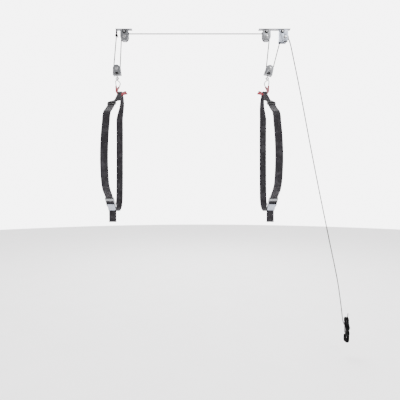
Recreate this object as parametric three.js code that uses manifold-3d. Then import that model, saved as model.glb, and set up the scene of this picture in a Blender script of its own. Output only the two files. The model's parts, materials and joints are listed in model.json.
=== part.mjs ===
// Ceiling hoist kit: two lower pulley blocks on one rope, each with a wire hook and a webbing
// sling, two upper pulleys, a rope lock and a wall cleat that keeps the surplus rope.
// Millimetres, +Z up, +X along the ceiling from the anchor end to the lock end, +Y to the wall.
// The origin is the middle of the upper face of the lock-side ceiling plate.

import * as THREE from 'three';
import { mergeVertices } from 'three/addons/utils/BufferGeometryUtils.js';
import Module from 'manifold-3d';

const wasm = await Module();
wasm.setup();

// Shared sizes
const GAP = 0.3;
const CLEARANCE = 0.4;
const OVERRUN = 1;
const WELD = 1e-4;
const ROUND = 20;
const SMALL_ROUND = 12;
const HEXAGON = 6;
const OUTLINE_STEPS = 8;

// Rope
const ROPE_RADIUS = 3.5;
const ROPE_SIDES = 8;
const ARC_STEP = 0.22;
const STUB = 1;

// Sheaves, axles and bolts
const BLOCK_PITCH = 22;
const LOCK_PITCH = 24.5;
const GROOVE_CLEARANCE = 0.5;
const GROOVE_MOUTH = 6;
const GROOVE_FLOOR = 3.2;
const SHEAVE_RIM = 2.8;
const SHEAVE_HALF = 7.5;
const HUB_HALF = 10.5;
const HUB_RADIUS = 8;
const AXLE_RADIUS = 4;
const AXLE_HEAD = 11;
const AXLE_DOME = 3.2;
const AXLE_CROWN = 0.6 * AXLE_HEAD;
const AXLE_EDGE = 1;
const BORE = AXLE_RADIUS + CLEARANCE;
const WASHER_RADIUS = 13;
const WASHER_THICK = 2;
const WASHER_CHAMFER = 0.6;
const BOLT_HEAD_RADIUS = 7.5;
const BOLT_HEAD = 5;

// Folded sheet brackets
const SHEET = 3;
const CHEEK_IN = HUB_HALF + 0.5;
const CHEEK_OUT = CHEEK_IN + SHEET;

// Ceiling plates
const PLATE_HALF_WIDTH = 13;
const RIGHT_PLATE = { from: -107, to: 107 };
const LEFT_PLATE = { from: -1078, to: -966 };
const LUG_HALF = 9;
const LUG_OUT = 10.6;
const LUG_BOTTOM = -26;
const BOLT_Z = -19;
const ANCHOR = { x: -1072, z: -17, tabHalf: 6, tabBottom: -25, ring: 8.5, hole: 4 };
const KNOT = { radius: 7, squash: 0.9, drop: 12, tail: 18 };
const KNOT_RING_STEPS = 14;
const KNOT_STEPS = { round: 10, high: 6 };

// Pulley places, X and Z of each sheave's centre
const UPPER_LEFT = { x: -1017, z: -52 };
const UPPER_RIGHT = { x: -55, z: -52 };
const LOCK_SHEAVE = { x: 70, z: -57.5 };
const LOWER_LEFT = { x: -1070, z: -268, lean: 3.5, inward: 1 };
const LOWER_RIGHT = { x: -33, z: -270, lean: 15, inward: -1 };

// Upper brackets: a shield with clipped top corners, curved in below its shoulders to a flat foot
const BRACKET = { half: 28, top: -11, bottom: -80.5, shoulder: -54, corner: 3, foot: 12 };
const BRACKET_BULGE = { inset: 2, rise: 8 };

// Rope lock
const LOCK = { left: 29.5, right: 90, top: -8, bottom: -92, boltX: 52, corner: 2 };
const LOCK_NOSE = { run: 12, rise: 14, shoulder: 4 };
const LOCK_WEB_RISE = 8;
const LOCK_ROLLER = { x: 46.5, z: -87, radius: 4.2, travel: 6, leanX: 0.35, pin: 2.2 };
const ROLLER_PIN_PAST = 2;
const ROLLER_SIDE_ROOM = 1;
const LOCK_GUARD = { left: 58, right: 88, rise: 4, z: -93, height: 8, slant: 4, nose: 6, thick: 2.5 };

// Lower blocks, measured from the sheave's centre
const STIRRUP_HALF = 25.3;
const STIRRUP_FOOT = 28;
const STIRRUP_BOTTOM = -45;
const EYE_CENTRE = -59;
const EYE_PITCH = 8;
const EYE_WIRE = 2.8;
const EYE_SIDES = 8;
const EYE_STEPS = 18;
const SHANK_RADIUS = 4;
const NUT = { top: -26, low: 14.5, high: 7.5, edge: 4 };

// Hooks
const HOOK_WIRE = 3.5;
const SLEEVE_RADIUS = 6.3;
const SLEEVE_BORE = 5;
const SLEEVE_CAP = 3;
const SLEEVE_ROOM = 0.2;

// Webbing slings
const WEB_HALF = 24;
const WEB_THICK = 2.4;
const SLING_X = { left: -1074, right: -53 };
const GATHER = {
  from: 9, to: 35, top: -441, wide: -508, wideHalf: 21, bottom: -524, backBottom: -600 };
const SLING_ROOM = { front: -500, back: 300, above: -400, below: -1400 };
const SLIDER = { y: -126, z: -541, tilt: -46.6, deep: 5.5, long: 15, bar: 6, slot: 1.9, middle: 4 };
const BUCKLE = { y: -141, z: -1184, tilt: 50 };
const EAR_IN = WEB_HALF + 0.8;
const EAR_OUT = EAR_IN + 2.2;
const EAR_PIN_PAST = 1.5;
const BUCKLE_PLATE = { front: 2, back: 4, low: -32, high: 22 };
const BUCKLE_LIP_RADIUS = 2;
const BUCKLE_TOP_BAR = { z: 48, radius: 3 };
const BUCKLE_COVER = { front: -8.4, back: -6.2, low: 38, high: 60 };
const LEVER_PIVOT = { y: -7.6, z: 4, pin: 2.4, cam: 5 };

// Wall cleat and the rope wound on it
const WALL_Y = 426;
const CLEAT = { x: 686, z: -2202, half: 6 };
const WINDING = { outer: -45, inner: -10.6, room: 0.6 };
const ROPE_END = [[-3, -40, 80], [-2, -40, 100], [2, -39, 118], [7.5, -38, 136]];
const PULL_END = { x: 661, y: 399, z: -2143 };

const looks = {
  zinc: { color: 0xa9abae, roughness: 0.42, metalness: 0.85 },
  lockZinc: { color: 0xa7adb8, roughness: 0.4, metalness: 0.85 },
  brightSteel: { color: 0xc6c7c8, roughness: 0.3, metalness: 0.9 },
  darkSteel: { color: 0x4a4b4d, roughness: 0.5, metalness: 0.8 },
  blackPlastic: { color: 0x161617, roughness: 0.55, metalness: 0 },
  sheave: { color: 0x6f7073, roughness: 0.5, metalness: 0.1 },
  redVinyl: { color: 0x9c1430, roughness: 0.38, metalness: 0 },
  webbing: { color: 0x37363a, roughness: 0.85, metalness: 0 },
  rope: { color: 0x2b2a2c, roughness: 0.9, metalness: 0 },
};

// ---------------------------------------------------------------- solids

// A closed geometry as a solid that can be joined and cut, with its faces turned outwards.
function solid(geometry) {
  const bare = geometry.clone();
  bare.deleteAttribute('normal');
  bare.deleteAttribute('uv');
  const merged = mergeVertices(bare, WELD);
  const corners = merged.index.array;
  const triangles = [];
  for (let i = 0; i < corners.length; i += 3) {
    const [a, b, c] = corners.slice(i, i + 3);
    if (a !== b && b !== c && c !== a) triangles.push(a, b, c);
  }
  const vertProperties = Float32Array.from(merged.attributes.position.array);
  const make = (order) => new wasm.Manifold(
    new wasm.Mesh({ numProp: 3, vertProperties, triVerts: Uint32Array.from(order) }));
  const made = make(triangles);
  return made.volume() > 0 ? made : make(triangles.reverse());
}

function joined(...geometries) {
  return geometries.map(solid).reduce((all, next) => all.add(next));
}

function cut(body, ...geometries) {
  return geometries.map(solid).reduce((rest, tool) => rest.subtract(tool), body);
}

function geometryOf(body) {
  const mesh = body.getMesh();
  const geometry = new THREE.BufferGeometry();
  const positions = new THREE.BufferAttribute(Float32Array.from(mesh.vertProperties), 3);
  geometry.setAttribute('position', positions);
  geometry.setIndex(new THREE.BufferAttribute(Uint32Array.from(mesh.triVerts), 1));
  geometry.computeVertexNormals();
  return geometry;
}

function place(parent, name, body, look) {
  const mesh = new THREE.Mesh(geometryOf(body), new THREE.MeshStandardMaterial(looks[look]));
  mesh.name = name;
  parent.add(mesh);
  return mesh;
}

// ---------------------------------------------------------------- shapes

function box(x0, x1, y0, y1, z0, z1) {
  const geometry = new THREE.BoxGeometry(x1 - x0, y1 - y0, z1 - z0);
  return geometry.translate((x0 + x1) / 2, (y0 + y1) / 2, (z0 + z1) / 2);
}

// An X-Z outline made thick along Y.
function alongY(outline, y0, y1) {
  const geometry = new THREE.ExtrudeGeometry(outline, {
    depth: y1 - y0, bevelEnabled: false, curveSegments: OUTLINE_STEPS });
  return geometry.rotateX(Math.PI / 2).translate(0, y1, 0);
}

// A Y-Z outline made thick along X.
function alongX(outline, x0, x1) {
  const geometry = new THREE.ExtrudeGeometry(outline, {
    depth: x1 - x0, bevelEnabled: false, curveSegments: OUTLINE_STEPS });
  const turn = new THREE.Matrix4().makeBasis(
    new THREE.Vector3(0, 1, 0), new THREE.Vector3(0, 0, 1), new THREE.Vector3(1, 0, 0));
  return geometry.applyMatrix4(turn).translate(x0, 0, 0);
}

function outline(points) {
  return new THREE.Shape(points.map(([a, b]) => new THREE.Vector2(a, b)));
}

// Radius and height pairs turned about the Y axis.
function turned(profile, segments = ROUND) {
  return new THREE.LatheGeometry(profile.map(([r, y]) => new THREE.Vector2(r, y)), segments);
}

function rodY(x, z, radius, y0, y1, segments = SMALL_ROUND) {
  const geometry = new THREE.CylinderGeometry(radius, radius, y1 - y0, segments);
  return geometry.translate(x, (y0 + y1) / 2, z);
}

function rodX(y, z, radius, x0, x1) {
  const geometry = new THREE.CylinderGeometry(radius, radius, x1 - x0, SMALL_ROUND);
  return geometry.rotateZ(Math.PI / 2).translate((x0 + x1) / 2, y, z);
}

function rodZ(radius, z0, z1) {
  const geometry = new THREE.CylinderGeometry(radius, radius, z1 - z0, SMALL_ROUND);
  return geometry.rotateX(Math.PI / 2).translate(0, 0, (z0 + z1) / 2);
}

// A route through listed points, with one ring of the tube at each of them.
class Route extends THREE.Curve {
  constructor(points) {
    super();
    this.points = points;
  }

  getUtoTmapping(u) {
    return u;
  }

  getPoint(t, target = new THREE.Vector3()) {
    const along = t * (this.points.length - 1);
    const first = Math.min(Math.floor(along), this.points.length - 2);
    return target.lerpVectors(this.points[first], this.points[first + 1], along - first);
  }
}

function tube(points, radius, sides = ROPE_SIDES) {
  const section = [];
  for (let i = 0; i < sides; i += 1) {
    const angle = (2 * Math.PI * i) / sides;
    section.push([radius * Math.cos(angle), radius * Math.sin(angle)]);
  }
  return new THREE.ExtrudeGeometry(outline(section), {
    steps: points.length - 1, extrudePath: new Route(points), bevelEnabled: false });
}

function vectors(points) {
  return points.map(([x, y, z]) => new THREE.Vector3(x, y, z));
}

function smooth(points, count) {
  return new THREE.CatmullRomCurve3(points, false, 'centripetal').getSpacedPoints(count);
}

// A smooth route with a ring at each listed point and one halfway to the next.
function finer(points) {
  return new THREE.CatmullRomCurve3(points, false, 'centripetal').getPoints(2 * (points.length - 1));
}

// ---------------------------------------------------------------- pulleys

function sheave(pitch) {
  const groove = pitch - ROPE_RADIUS - GROOVE_CLEARANCE;
  const rim = pitch + SHEAVE_RIM;
  return solid(turned([
    [BORE, -HUB_HALF], [HUB_RADIUS, -HUB_HALF], [HUB_RADIUS, -SHEAVE_HALF],
    [rim, -SHEAVE_HALF], [rim, -GROOVE_MOUTH], [groove, -GROOVE_FLOOR],
    [groove, GROOVE_FLOOR], [rim, GROOVE_MOUTH], [rim, SHEAVE_HALF],
    [HUB_RADIUS, SHEAVE_HALF], [HUB_RADIUS, HUB_HALF], [BORE, HUB_HALF], [BORE, -HUB_HALF],
  ]));
}

function axle() {
  const seat = CHEEK_OUT + GAP;
  return solid(turned([
    [0, -seat - AXLE_DOME], [AXLE_CROWN, -seat - AXLE_DOME], [AXLE_HEAD, -seat - AXLE_EDGE],
    [AXLE_HEAD, -seat], [AXLE_RADIUS, -seat], [AXLE_RADIUS, seat], [AXLE_HEAD, seat],
    [AXLE_HEAD, seat + AXLE_EDGE], [AXLE_CROWN, seat + AXLE_DOME], [0, seat + AXLE_DOME],
  ], SMALL_ROUND));
}

// The bolt that hangs a bracket from its plate's lugs, with a nut on its far end.
function hangingBolt() {
  const washerFace = -CHEEK_OUT - GAP - WASHER_THICK - GAP;
  const nutFace = CHEEK_OUT + GAP;
  return joined(
    rodY(0, 0, AXLE_RADIUS, washerFace - OVERRUN, nutFace + BOLT_HEAD + OVERRUN),
    rodY(0, 0, BOLT_HEAD_RADIUS, washerFace - BOLT_HEAD, washerFace, HEXAGON),
    rodY(0, 0, BOLT_HEAD_RADIUS, nutFace, nutFace + BOLT_HEAD, HEXAGON));
}

function washer() {
  const back = -CHEEK_OUT - GAP;
  return solid(turned([
    [BORE, back - WASHER_THICK], [WASHER_RADIUS - WASHER_CHAMFER, back - WASHER_THICK],
    [WASHER_RADIUS, back - WASHER_THICK + WASHER_CHAMFER], [WASHER_RADIUS, back], [BORE, back],
    [BORE, back - WASHER_THICK],
  ], SMALL_ROUND));
}

function placeFastening(parent, prefix, x) {
  place(parent, `${prefix}_bolt`, hangingBolt(), 'brightSteel').position.set(x, 0, BOLT_Z);
  place(parent, `${prefix}_washer`, washer(), 'blackPlastic').position.set(x, 0, BOLT_Z);
}

function placeSheave(parent, prefix, centre, pitch) {
  place(parent, `${prefix}_sheave`, sheave(pitch), 'sheave').position.set(centre.x, 0, centre.z);
  place(parent, `${prefix}_axle`, axle(), 'brightSteel').position.set(centre.x, 0, centre.z);
}

// ---------------------------------------------------------------- ceiling side

const hoist = new THREE.Group();

function lugs(x) {
  const left = x - LUG_HALF;
  const right = x + LUG_HALF;
  return [
    box(left, right, LUG_OUT - SHEET, LUG_OUT, LUG_BOTTOM, -OVERRUN),
    box(left, right, -LUG_OUT, SHEET - LUG_OUT, LUG_BOTTOM, -OVERRUN),
  ];
}

function boltHole(x, z = BOLT_Z) {
  return rodY(x, z, BORE, -CHEEK_OUT - OVERRUN, CHEEK_OUT + OVERRUN);
}

function ceilingPlate(span, boltPlaces) {
  const strip = box(span.from, span.to, -PLATE_HALF_WIDTH, PLATE_HALF_WIDTH, -SHEET, 0);
  const plate = joined(strip, ...boltPlaces.flatMap(lugs));
  return cut(plate, ...boltPlaces.map((x) => boltHole(x)));
}

place(hoist, 'ceiling_plate_right', ceilingPlate(RIGHT_PLATE, [UPPER_RIGHT.x, LOCK.boltX]), 'zinc');

// The anchor end also has a tab with a hole for the rope's knotted end.
function anchorPlate() {
  const tab = box(ANCHOR.x - ANCHOR.tabHalf, ANCHOR.x + ANCHOR.tabHalf, -SHEET / 2, SHEET / 2,
    ANCHOR.tabBottom, -OVERRUN);
  const plate = ceilingPlate(LEFT_PLATE, [UPPER_LEFT.x]).add(solid(tab));
  return cut(plate, rodY(ANCHOR.x, ANCHOR.z, ANCHOR.hole, -SHEET, SHEET));
}

place(hoist, 'ceiling_plate_left', anchorPlate(), 'zinc');

// A folded bracket: two shield-shaped cheeks joined by a narrow web under the sheave.
function upperBracket() {
  const { half, top, bottom, shoulder, corner, foot } = BRACKET;
  const bulgeX = half - BRACKET_BULGE.inset;
  const bulgeZ = bottom + BRACKET_BULGE.rise;
  const shield = new THREE.Shape();
  shield.moveTo(-half + corner, top);
  shield.lineTo(-half, top - corner);
  shield.lineTo(-half, shoulder);
  shield.quadraticCurveTo(-bulgeX, bulgeZ, -foot, bottom);
  shield.lineTo(foot, bottom);
  shield.quadraticCurveTo(bulgeX, bulgeZ, half, shoulder);
  shield.lineTo(half, top - corner);
  shield.lineTo(half - corner, top);
  const folded = joined(
    alongY(shield, -CHEEK_OUT, -CHEEK_IN),
    alongY(shield, CHEEK_IN, CHEEK_OUT),
    box(-foot, foot, -CHEEK_OUT, CHEEK_OUT, bottom, bottom + SHEET));
  return cut(folded, boltHole(0), boltHole(0, UPPER_LEFT.z));
}

for (const [prefix, centre] of [['upper_left', UPPER_LEFT], ['upper_right', UPPER_RIGHT]]) {
  place(hoist, `${prefix}_bracket`, upperBracket(), 'zinc').position.x = centre.x;
  placeSheave(hoist, prefix, centre, BLOCK_PITCH);
  placeFastening(hoist, prefix, centre.x);
}

// Rope lock: a channel with its web at the left, a sheave, and a roller that a slanted slot
// guides against the rope.
const slotEnd = new THREE.Vector2(LOCK_ROLLER.leanX, 1).setLength(LOCK_ROLLER.travel);

function rollerSlot() {
  const { x, z, pin } = LOCK_ROLLER;
  const half = pin + CLEARANCE;
  const side = slotEnd.angle() + Math.PI / 2;
  const shape = new THREE.Shape();
  shape.absarc(x, z, half, side, side + Math.PI, false);
  shape.absarc(x + slotEnd.x, z + slotEnd.y, half, side + Math.PI, side + 2 * Math.PI, false);
  return alongY(shape, -CHEEK_OUT - OVERRUN, CHEEK_OUT + OVERRUN);
}

function lockHousing() {
  const { left, right, top, bottom, corner } = LOCK;
  const { run, rise, shoulder } = LOCK_NOSE;
  const side = outline([
    [left, bottom + corner], [left + corner, bottom], [right - run, bottom], [right, bottom + rise],
    [right, top - shoulder], [right - shoulder, top], [left + corner, top], [left, top - corner],
  ]);
  const channel = joined(
    alongY(side, -CHEEK_OUT, -CHEEK_IN),
    alongY(side, CHEEK_IN, CHEEK_OUT),
    box(left, left + SHEET, -CHEEK_OUT, CHEEK_OUT, bottom + LOCK_WEB_RISE, top - corner));
  return cut(channel, boltHole(LOCK.boltX), boltHole(LOCK_SHEAVE.x, LOCK_SHEAVE.z), rollerSlot());
}

place(hoist, 'lock_housing', lockHousing(), 'lockZinc');
placeSheave(hoist, 'lock', LOCK_SHEAVE, LOCK_PITCH);
placeFastening(hoist, 'lock', LOCK.boltX);

function lockRoller() {
  const { pin, radius } = LOCK_ROLLER;
  const pinEnd = CHEEK_OUT + ROLLER_PIN_PAST;
  const rollEnd = CHEEK_IN - ROLLER_SIDE_ROOM;
  return solid(turned([
    [0, -pinEnd], [pin, -pinEnd], [pin, -rollEnd], [radius, -rollEnd],
    [radius, rollEnd], [pin, rollEnd], [pin, pinEnd], [0, pinEnd],
  ], SMALL_ROUND));
}

place(hoist, 'lock_roller', lockRoller(), 'darkSteel').position.set(LOCK_ROLLER.x, 0, LOCK_ROLLER.z);

function lockGuard() {
  const { left, right, rise, z, height, slant, nose, thick } = LOCK_GUARD;
  const bar = outline([[left, z], [right - nose, z], [right, z + rise],
    [right - nose, z + height], [left + slant, z + height]]);
  const back = -CHEEK_OUT - GAP;
  return solid(alongY(bar, back - thick, back));
}

place(hoist, 'lock_guard', lockGuard(), 'blackPlastic');

// ---------------------------------------------------------------- lower blocks and hooks

function stirrup() {
  const cheek = new THREE.Shape();
  cheek.moveTo(-STIRRUP_FOOT, STIRRUP_BOTTOM);
  cheek.lineTo(STIRRUP_FOOT, STIRRUP_BOTTOM);
  cheek.lineTo(STIRRUP_HALF, 0);
  cheek.absarc(0, 0, STIRRUP_HALF, 0, Math.PI, false);
  const floor = STIRRUP_BOTTOM + SHEET;
  const window = outline([[-NUT.low, floor], [NUT.low, floor],
    [NUT.high, NUT.top + OVERRUN], [-NUT.high, NUT.top + OVERRUN]]);
  const folded = joined(
    alongY(cheek, -CHEEK_OUT, -CHEEK_IN),
    alongY(cheek, CHEEK_IN, CHEEK_OUT),
    box(-STIRRUP_HALF, STIRRUP_HALF, -CHEEK_OUT, CHEEK_OUT, STIRRUP_BOTTOM, floor));
  const shankHole = rodZ(SHANK_RADIUS + CLEARANCE, STIRRUP_BOTTOM - 2 * SHEET, STIRRUP_BOTTOM + 2 * SHEET);
  const nutWindow = alongY(window, -CHEEK_OUT - OVERRUN, CHEEK_OUT + OVERRUN);
  return cut(folded, boltHole(0, 0), nutWindow, shankHole);
}

function eyeBolt() {
  const ring = new THREE.TorusGeometry(EYE_PITCH, EYE_WIRE, EYE_SIDES, EYE_STEPS);
  ring.rotateY(Math.PI / 2).translate(0, 0, EYE_CENTRE);
  return joined(ring, rodZ(SHANK_RADIUS, EYE_CENTRE + EYE_PITCH, NUT.top - 2 * OVERRUN));
}

function swivelNut() {
  const seat = STIRRUP_BOTTOM + SHEET + GAP;
  const bore = SHANK_RADIUS + GAP;
  const base = NUT.low - 1;
  const profile = [[bore, seat], [base, seat], [base, seat + NUT.edge],
    [NUT.high, NUT.top], [bore, NUT.top], [bore, seat]];
  return solid(turned(profile, SMALL_ROUND).rotateX(Math.PI / 2));
}

// Half of the hook's wire, from the saddle in the eye to the tip, measured from the eye's centre.
// The halves cross under the eye, come together as a stem and turn in as two spreading prongs.
const FRONT_NECK = [[6, -0.6, -1.6], [9.5, -2, -7], [5, -5, -14.5], [-4, -7, -21], [-9.5, -8, -28],
  [-9, -10, -38], [-6.5, -12, -58], [-4.5, -13, -76]];
const REAR_NECK = [[-6, 0.6, -1.6], [-9.5, 2, -7], [-4.5, 5, -14.5], [5, 7, -21], [14, 8, -30],
  [17.5, 9, -40], [12, 11, -55], [4, 12.5, -67], [-2, 13, -78]];
const PRONG = [[-4, 13, -88], [-4, 13, -95], [-2, 13, -102.5], [4, 13, -108], [12, 13, -110],
  [32, 13, -110], [45, 14.5, -107.5], [55, 16.5, -104], [62, 17.5, -103]];
const SADDLE = [0, 0, -0.8];
const SLEEVE_START = -58;

function halfHook(neck, inward) {
  const side = Math.sign(neck[neck.length - 1][1]);
  const prong = PRONG.map(([u, spread, z]) => [u, side * spread, z]);
  return vectors([SADDLE, ...neck, ...prong].map(([u, y, z]) => [inward * u, y, z]));
}

function hookWire(inward) {
  const front = halfHook(FRONT_NECK, inward);
  const rear = halfHook(REAR_NECK, inward);
  return solid(tube(finer([...front.reverse(), ...rear.slice(1)]), HOOK_WIRE));
}

function hookSleeve(neck, inward) {
  const route = finer(halfHook(neck, inward));
  const start = route.findIndex((point) => point.z < SLEEVE_START);
  const covered = route.slice(start);
  const tip = covered[covered.length - 1];
  const beyond = tip.clone().sub(covered[covered.length - 2]).setLength(SLEEVE_CAP).add(tip);
  const bored = tip.clone().lerp(beyond, SLEEVE_ROOM);
  const outer = solid(tube([...covered, beyond], SLEEVE_RADIUS));
  return cut(outer, tube([...route.slice(start - 1), bored], SLEEVE_BORE, HEXAGON));
}

function eyePlace(centre) {
  const lean = THREE.MathUtils.degToRad(centre.lean) * centre.inward;
  return { x: centre.x - EYE_CENTRE * Math.sin(lean), z: centre.z + EYE_CENTRE * Math.cos(lean) };
}

function placeLowerBlock(side, centre) {
  const block = new THREE.Group();
  block.position.set(centre.x, 0, centre.z);
  block.rotation.y = -THREE.MathUtils.degToRad(centre.lean) * centre.inward;
  hoist.add(block);
  place(block, `lower_${side}_stirrup`, stirrup(), 'zinc');
  placeSheave(block, `lower_${side}`, { x: 0, z: 0 }, BLOCK_PITCH);
  place(block, `lower_${side}_eye_bolt`, eyeBolt(), 'brightSteel');
  place(block, `lower_${side}_swivel_nut`, swivelNut(), 'blackPlastic');

  const hook = new THREE.Group();
  const eye = eyePlace(centre);
  hook.position.set(eye.x, 0, eye.z);
  hoist.add(hook);
  place(hook, `${side}_hook`, hookWire(centre.inward), 'brightSteel');
  place(hook, `${side}_hook_sleeve_front`, hookSleeve(FRONT_NECK, centre.inward), 'redVinyl');
  place(hook, `${side}_hook_sleeve_rear`, hookSleeve(REAR_NECK, centre.inward), 'redVinyl');
}

placeLowerBlock('left', LOWER_LEFT);
placeLowerBlock('right', LOWER_RIGHT);

// ---------------------------------------------------------------- slings

function tilted(part, [y, z]) {
  const angle = THREE.MathUtils.degToRad(part.tilt);
  return [part.y + y * Math.cos(angle) - z * Math.sin(angle),
    part.z + y * Math.sin(angle) + z * Math.cos(angle)];
}

// The webbing's middle line, Y and Z: from its sewn end, round the buckle's top bar, up the
// front, over the hook, down the back, under the load, through the buckle and out as the tail.
const SEWN_END = [[-1.2, 160], [-4.4, 138], [-0.9, 109], [1.9, 80], [1.8, 58], [4.2, 51.5], [4.6, 48],
  [3.3, 44.8], [0, 43.4], [-3.3, 44.8], [-4.6, 48], [-4.2, 51.5], [-1.6, 58], [-1.6, 80],
  [-4.3, 109]];
const FRONT_RUN = [[-252, -1102], [-278, -1068], [-294, -1025], [-304, -975], [-309, -920],
  [-306, -850], [-292, -770], [-268, -690], [-257, -650], [-238, -623], [-200, -598], [-162, -571],
  [-126, -541], [-70, -484]];
const OVER_HOOK = [[-18.8, -430.6], [-16.2, -429], [-13, -428.3], [0, -428.2], [13, -428.3],
  [16.2, -429], [18.8, -430.6]];
const BACK_RUN = [[66, -478], [86, -510], [98, -555], [104, -620], [107, -730], [107, -860],
  [106, -980], [103, -1090], [95, -1160], [70, -1205], [20, -1229], [-30, -1232], [-66, -1226],
  [-90, -1215]];
const THROUGH_BUCKLE = [[6.6, -32], [6.6, 10], [6.4, 21], [5.4, 24.7], [3, 25.7], [0.6, 24.7],
  [-0.4, 21], [-0.6, 10], [-0.6, -32], [-1.2, -48]];
const TAIL = [[-100.5, -1232], [-98.5, -1254], [-98, -1278], [-98, -1302]];

function webbingLine() {
  const inBuckle = (points) => points.map((point) => tilted(BUCKLE, point));
  const places = [...inBuckle(SEWN_END), ...FRONT_RUN, ...OVER_HOOK, ...BACK_RUN,
    ...inBuckle(THROUGH_BUCKLE), ...TAIL];
  const line = new THREE.CatmullRomCurve3(vectors(places.map(([y, z]) => [0, y, z])), false,
    'centripetal');
  const perSpan = 2;
  return line.getPoints((places.length - 1) * perSpan).map((point) => [point.y, point.z]);
}

function band(line, thickness) {
  const near = [];
  const far = [];
  line.forEach(([y, z], i) => {
    const before = line[Math.max(i - 1, 0)];
    const after = line[Math.min(i + 1, line.length - 1)];
    const across = new THREE.Vector2(before[1] - after[1], after[0] - before[0]);
    across.setLength(thickness / 2);
    near.push([y + across.x, z + across.y]);
    far.push([y - across.x, z - across.y]);
  });
  return outline([...near, ...far.reverse()]);
}

// The webbing is drawn together in the hook. In front it widens again above the slider, which it
// meets a little to one side. Behind it widens slowly.
function gatherMask(x, hookX, inward, behind) {
  const { front, back, above, below } = SLING_ROOM;
  const { from, to, top, wide, wideHalf, bottom, backBottom } = GATHER;
  const inner = x + inward * (WEB_HALF + OVERRUN);
  const outer = x - inward * (WEB_HALF + OVERRUN);
  const near = hookX + inward * from;
  const far = hookX + inward * to;
  const middle = (near + far) / 2;
  const full = behind ? backBottom : bottom;
  const farSide = behind ? [] : [[middle + inward * wideHalf, wide]];
  const nearSide = behind ? [] : [[middle - inward * wideHalf, wide]];
  const points = [[near, above], [far, above], [far, top], ...farSide, [inner, full],
    [inner, below], [outer, below], [outer, full], ...nearSide, [near, top]];
  return alongY(outline(points), behind ? 0 : front, behind ? back : OVERRUN);
}

function webbing(x, centre) {
  const section = band(webbingLine(), WEB_THICK);
  const reach = 2 * WEB_HALF;
  const hookX = eyePlace(centre).x;
  const full = solid(alongX(section, x - WEB_HALF, x + WEB_HALF));
  const wide = solid(alongX(section, x - reach, x + reach));
  const topFront = box(x - 2 * reach, x + 2 * reach, SLING_ROOM.front, OVERRUN, GATHER.bottom,
    SLING_ROOM.above);
  const topBack = box(x - 2 * reach, x + 2 * reach, 0, SLING_ROOM.back, GATHER.backBottom,
    SLING_ROOM.above);
  const gathered = (top, behind) => wide.intersect(solid(top))
    .intersect(solid(gatherMask(x, hookX, centre.inward, behind)));
  return cut(full, topFront, topBack).add(gathered(topFront, false)).add(gathered(topBack, true));
}

function slider() {
  const { deep, long, bar, slot, middle } = SLIDER;
  return joined(
    box(-EAR_OUT, -EAR_IN, -deep, deep, -long, long),
    box(EAR_IN, EAR_OUT, -deep, deep, -long, long),
    box(-EAR_OUT, EAR_OUT, -deep, -slot, long - bar, long),
    box(-EAR_OUT, EAR_OUT, -deep, -slot, -long, bar - long),
    box(-EAR_OUT, EAR_OUT, slot, deep, -middle, middle));
}

// Two ears joined by a base plate with a round lip, a top bar for the sewn end with a cover in front
// of it, and the lever's pin.
function buckleFrame() {
  const { front, back, low, high } = BUCKLE_PLATE;
  const cover = BUCKLE_COVER;
  const pinEnd = EAR_OUT + EAR_PIN_PAST;
  const ear = outline([[9, -30], [9, 34], [5, 60], [-8.4, 60], [-9.5, 36], [-13, 2], [-11, -12],
    [0, -34], [6, -34]]);
  return joined(
    alongX(ear, -EAR_OUT, -EAR_IN),
    alongX(ear, EAR_IN, EAR_OUT),
    box(-EAR_OUT, EAR_OUT, front, back, low, high),
    box(-EAR_OUT, EAR_OUT, cover.front, cover.back, cover.low, cover.high),
    rodX((front + back) / 2, high, BUCKLE_LIP_RADIUS, -EAR_OUT, EAR_OUT),
    rodX(0, BUCKLE_TOP_BAR.z, BUCKLE_TOP_BAR.radius, -EAR_OUT, EAR_OUT),
    rodX(LEVER_PIVOT.y, LEVER_PIVOT.z, LEVER_PIVOT.pin, -pinEnd, pinEnd));
}

function buckleLever() {
  const { y, z, pin, cam } = LEVER_PIVOT;
  const arm = outline([[y - 4.8, z - 1], [y - 2, z - 4.4], [-9.5, -24], [-16, -42], [-18.5, -41],
    [-12.6, -24]]);
  const half = WEB_HALF - OVERRUN;
  const body = joined(rodX(y, z, cam, -half, half), alongX(arm, -half, half));
  return cut(body, rodX(y, z, pin + GAP, -half - OVERRUN, half + OVERRUN));
}

function placeSling(side, centre) {
  const x = SLING_X[side];
  place(hoist, `${side}_sling`, webbing(x, centre), 'webbing');
  const seated = (name, body, look, seat) => {
    const piece = place(hoist, name, body, look);
    piece.position.set(x, seat.y, seat.z);
    piece.rotation.x = THREE.MathUtils.degToRad(seat.tilt);
  };
  seated(`${side}_sling_slider`, slider(), 'blackPlastic', SLIDER);
  seated(`${side}_buckle_frame`, buckleFrame(), 'zinc', BUCKLE);
  seated(`${side}_buckle_lever`, buckleLever(), 'lockZinc', BUCKLE);
}

placeSling('left', LOWER_LEFT);
placeSling('right', LOWER_RIGHT);

// ---------------------------------------------------------------- rope

// The rope's wheels in order. A turn of +1 passes a wheel anticlockwise, seen with X to the right.
const knotBottom = { x: ANCHOR.x - 1, z: ANCHOR.tabBottom - KNOT.tail, pitch: 0, turn: 1 };
const wheels = [
  knotBottom,
  { ...LOWER_LEFT, pitch: BLOCK_PITCH, turn: 1 },
  { ...UPPER_LEFT, pitch: BLOCK_PITCH, turn: -1 },
  { ...UPPER_RIGHT, pitch: BLOCK_PITCH, turn: -1 },
  { ...LOWER_RIGHT, pitch: BLOCK_PITCH, turn: 1 },
  { ...LOCK_SHEAVE, pitch: LOCK_PITCH, turn: -1 },
  { x: PULL_END.x, z: PULL_END.z, pitch: 0, turn: 1 },
];

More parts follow.
